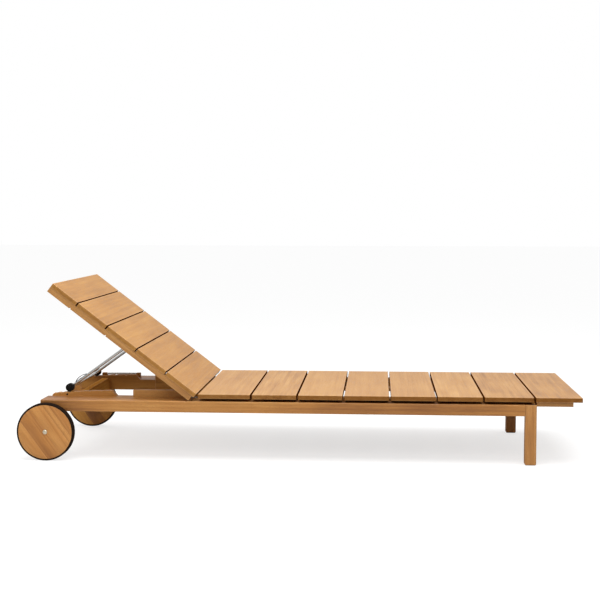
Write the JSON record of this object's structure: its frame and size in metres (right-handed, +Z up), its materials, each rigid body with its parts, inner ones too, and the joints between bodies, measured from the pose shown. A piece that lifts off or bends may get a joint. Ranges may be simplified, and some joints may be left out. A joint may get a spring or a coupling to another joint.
{
  "type": "sun lounger",
  "caption": "Low slatted teak sun lounger with an adjustable back propped by a steel bail, square legs at the foot and solid wooden wheels at the head.",
  "frame": {"origin": "on the floor, in the middle of the overall box with the back raised as in the picture", "axes": "+X towards the foot end with the legs, the wheels at -X; +Y to the left of a person lying on it; +Z up"},
  "size_m": [2, 0.7678, 0.6317],
  "materials": {
    "teak": "oiled teak, satin",
    "steel": "brushed stainless",
    "rubber": "matt black",
    "nylon": "matt black"
  },
  "bodies": {
    "frame": {"side_rail_right": "teak", "foot_leg_right": "teak", "bail_rack_right": "teak", "hinge_bearer_right": "teak", "axle_post_right": "teak", "seat_batten_right": "teak", "hinge_bracket_right": "steel", "side_rail_left": "teak", "foot_leg_left": "teak", "bail_rack_left": "teak", "hinge_bearer_left": "teak", "axle_post_left": "teak", "seat_batten_left": "teak", "hinge_bracket_left": "steel", "cross_member_foot": "teak", "cross_member_middle": "teak", "cross_member_hinge": "teak", "cross_member_head": "teak", "seat_batten_middle": "teak", "seat_slat_1": "teak", "seat_slat_2": "teak", "seat_slat_3": "teak", "seat_slat_4": "teak", "seat_slat_5": "teak", "seat_slat_6": "teak", "seat_slat_7": "teak", "seat_slat_8": "teak", "hinge_pins": "steel", "keeper_block": "teak", "keeper_post": "teak", "keeper_rod": "steel", "axle_bolts": "steel", "axle_washers": "steel"},
    "back": {"back_slat_1": "teak", "back_slat_2": "teak", "back_slat_3": "teak", "back_slat_4": "teak", "back_slat_5": "teak", "back_batten_right": "teak", "hinge_leaf_right": "steel", "bail_bracket_right": "steel", "back_batten_left": "teak", "hinge_leaf_left": "steel", "bail_bracket_left": "steel", "bail_pins": "steel", "rest_pads": "rubber"},
    "bail": {"bail": "steel", "bail_sleeve_right": "nylon", "bail_sleeve_left": "nylon", "bail_lever": "nylon"},
    "wheel_right": {"wheel_disc_right": "teak", "tyre_right": "rubber", "wheel_bush_right": "nylon"},
    "wheel_left": {"wheel_disc_left": "teak", "tyre_left": "rubber", "wheel_bush_left": "nylon"}
  },
  "joints": [
    {"name": "back_hinge", "type": "hinge", "parent": "frame", "child": "back", "pos_m": [-0.38529, 0, 0.23165], "axis": [0, 1, 0], "range_deg": [-37.4, 20]},
    {"name": "bail_pivot", "type": "hinge", "parent": "back", "child": "bail", "pos_m": [-0.61854, 0, 0.40558], "axis": [0, 1, 0], "range_deg": [-38.9, 72.7]},
    {"name": "wheel_right_spin", "type": "hinge", "parent": "frame", "child": "wheel_right", "pos_m": [-0.897, -0.367, 0.103], "axis": [0, 1, 0], "continuous": true},
    {"name": "wheel_left_spin", "type": "hinge", "parent": "frame", "child": "wheel_left", "pos_m": [-0.897, 0.367, 0.103], "axis": [0, 1, 0], "continuous": true}
  ],
  "couplings": [
    {"joint": "bail_pivot", "follows": "back_hinge", "ratio": -1.94}
  ]
}
